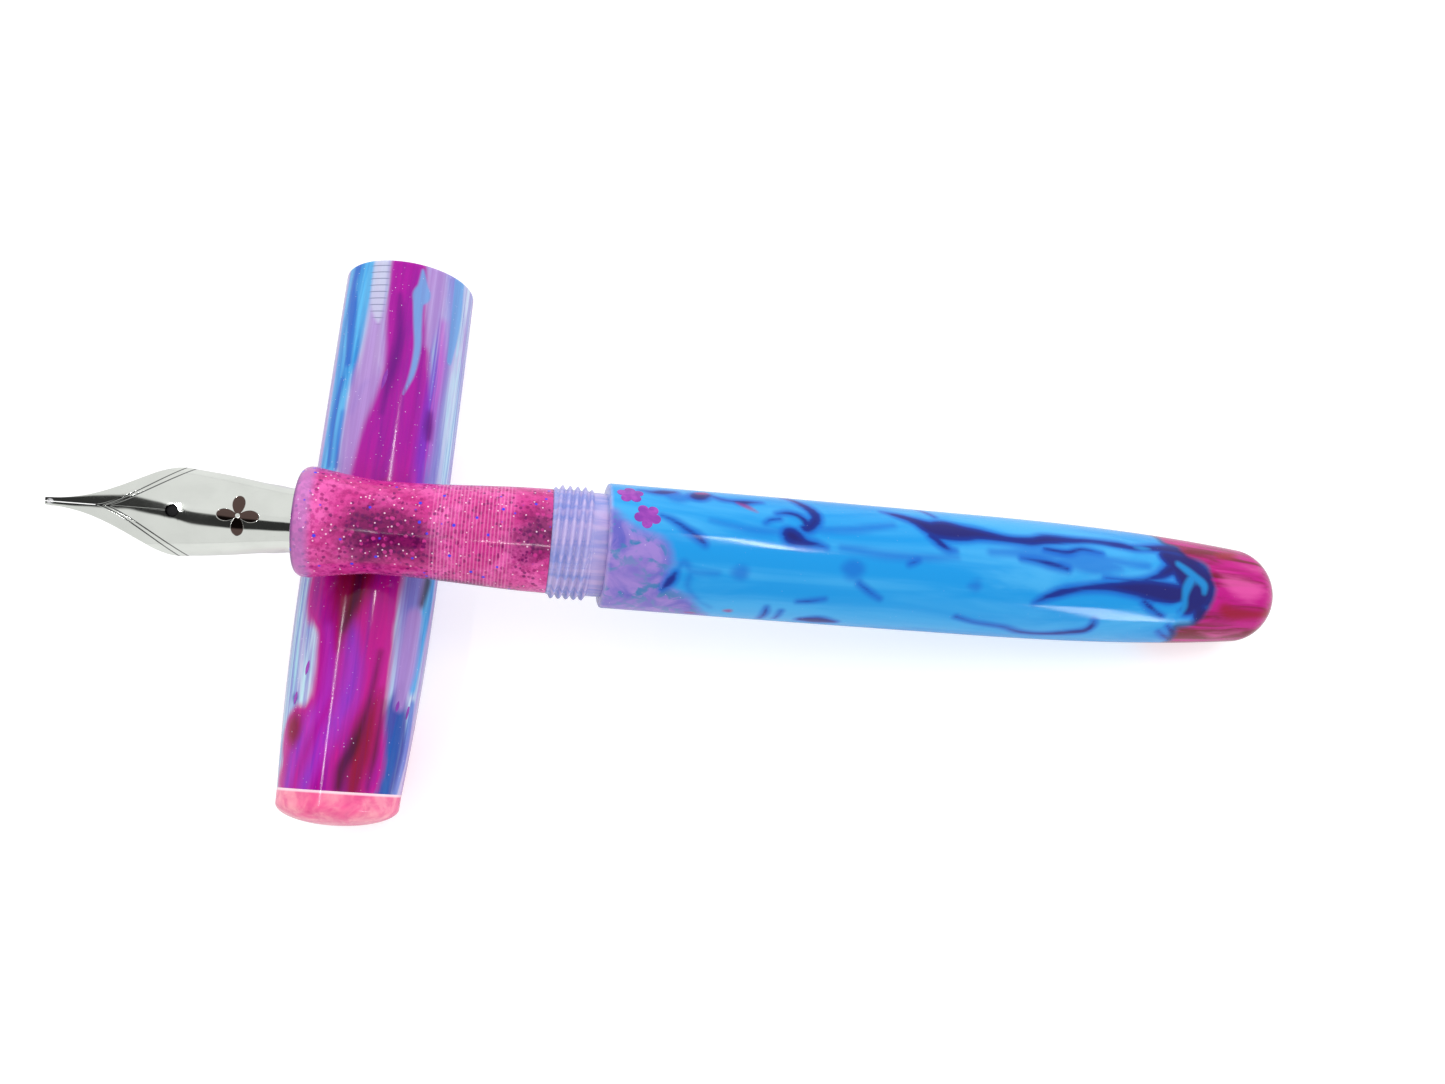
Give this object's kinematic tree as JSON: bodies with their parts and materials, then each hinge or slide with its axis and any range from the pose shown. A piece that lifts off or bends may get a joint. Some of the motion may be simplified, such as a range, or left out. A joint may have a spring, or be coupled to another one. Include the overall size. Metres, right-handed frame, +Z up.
{
  "type": "fountain pen",
  "caption": "Uncapped fountain pen lying across its screw cap: steel nib over a finned feed, turned resin section and barrel, piston converter inside.",
  "frame": {"origin": "middle of the footprint of the pen and its cap as they lie, on the table surface", "axes": "+X from the nib towards the barrel end, +Y along the cap towards its mouth, +Z up"},
  "size_m": [0.132, 0.0624, 0.026],
  "materials": {
    "cap_resin": "polished, marbled",
    "finial_resin": "polished, marbled",
    "barrel_resin": "polished, marbled",
    "section_resin": "polished, glittered",
    "flake_foil": "bright",
    "polished_steel": "mirror polished",
    "tipping_alloy": "ground",
    "feed_plastic": "satin",
    "black_plastic": "satin",
    "clear_plastic": "clear",
    "bright_metal": "polished",
    "rod_plastic": "satin",
    "seal_plastic": "matte"
  },
  "bodies": {
    "cap": {"cap_body": "cap_resin", "cap_finial": "finial_resin", "cap_flakes": "flake_foil"},
    "section": {"section": "section_resin"},
    "barrel": {"barrel": "barrel_resin", "barrel_flakes": "flake_foil"},
    "nib_unit": {"nib_housing": "black_plastic"},
    "nib_and_feed": {"nib": "polished_steel", "nib_tipping": "tipping_alloy", "feed": "feed_plastic"},
    "converter": {"converter_tube": "clear_plastic", "converter_sleeve": "bright_metal", "converter_guide": "black_plastic"},
    "knob": {"converter_knob": "black_plastic"},
    "piston": {"piston_rod": "rod_plastic", "piston_seal": "seal_plastic"}
  },
  "joints": [
    {"name": "pen_lift", "type": "slide", "parent": "cap", "child": "section", "axis": [0, 0, 1], "range_m": [0, 0.045]},
    {"name": "barrel_off", "type": "slide", "parent": "section", "child": "barrel", "axis": [0.9898, 0, -0.1427], "range_m": [0, 0.072]},
    {"name": "nib_unit_out", "type": "slide", "parent": "section", "child": "nib_unit", "axis": [-0.9898, 0, 0.1427], "range_m": [0, 0.026]},
    {"name": "nib_pull", "type": "slide", "parent": "nib_unit", "child": "nib_and_feed", "axis": [-0.9898, 0, 0.1427], "range_m": [0, 0.0145]},
    {"name": "converter_pull", "type": "slide", "parent": "section", "child": "converter", "axis": [0.9898, 0, -0.1427], "range_m": [0, 0.01]},
    {"name": "knob_turn", "type": "hinge", "parent": "converter", "child": "knob", "pos_m": [0.03002, -0.00135, 0.01004], "axis": [-0.9898, 0, 0.1427], "range_deg": [0, 2170]},
    {"name": "piston_travel", "type": "slide", "parent": "converter", "child": "piston", "axis": [0.9898, 0, -0.1427], "range_m": [0, 0.018]}
  ],
  "couplings": [
    {"joint": "knob_turn", "follows": "piston_travel", "rad_per_m": 2094.4}
  ]
}
